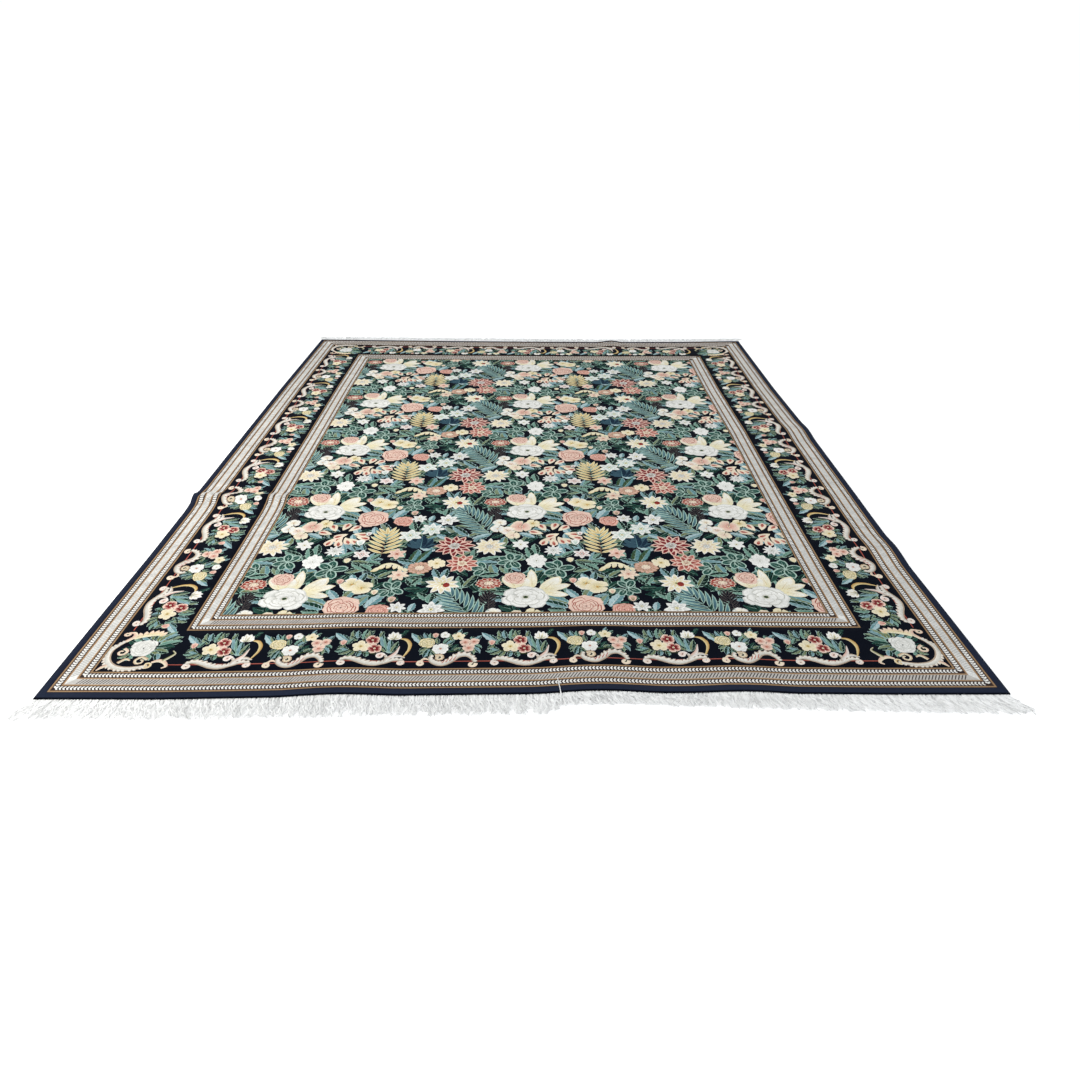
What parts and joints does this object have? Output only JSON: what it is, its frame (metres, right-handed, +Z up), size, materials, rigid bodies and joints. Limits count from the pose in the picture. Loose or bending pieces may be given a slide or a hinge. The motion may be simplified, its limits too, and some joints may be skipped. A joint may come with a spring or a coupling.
{
  "type": "hand-knotted floral rug",
  "caption": "Rectangular knotted wool floor rug with a floral field and border, low ripples from rolling, and a cotton fringe along both ends.",
  "frame": {"origin": "on the floor under the middle of the rug, at the middle of its box", "axes": "+X across the rug to the right of the picture, +Y along its length and away from the camera, +Z up"},
  "size_m": [2.5338, 3.2619, 0.019],
  "materials": {
    "wool_pile": "short knotted wool pile",
    "cotton_warp": "loose plied cotton warp ends"
  },
  "bodies": {
    "root": {"rug_body": "wool_pile", "fringe_front": "cotton_warp", "fringe_back": "cotton_warp"}
  },
  "joints": []
}
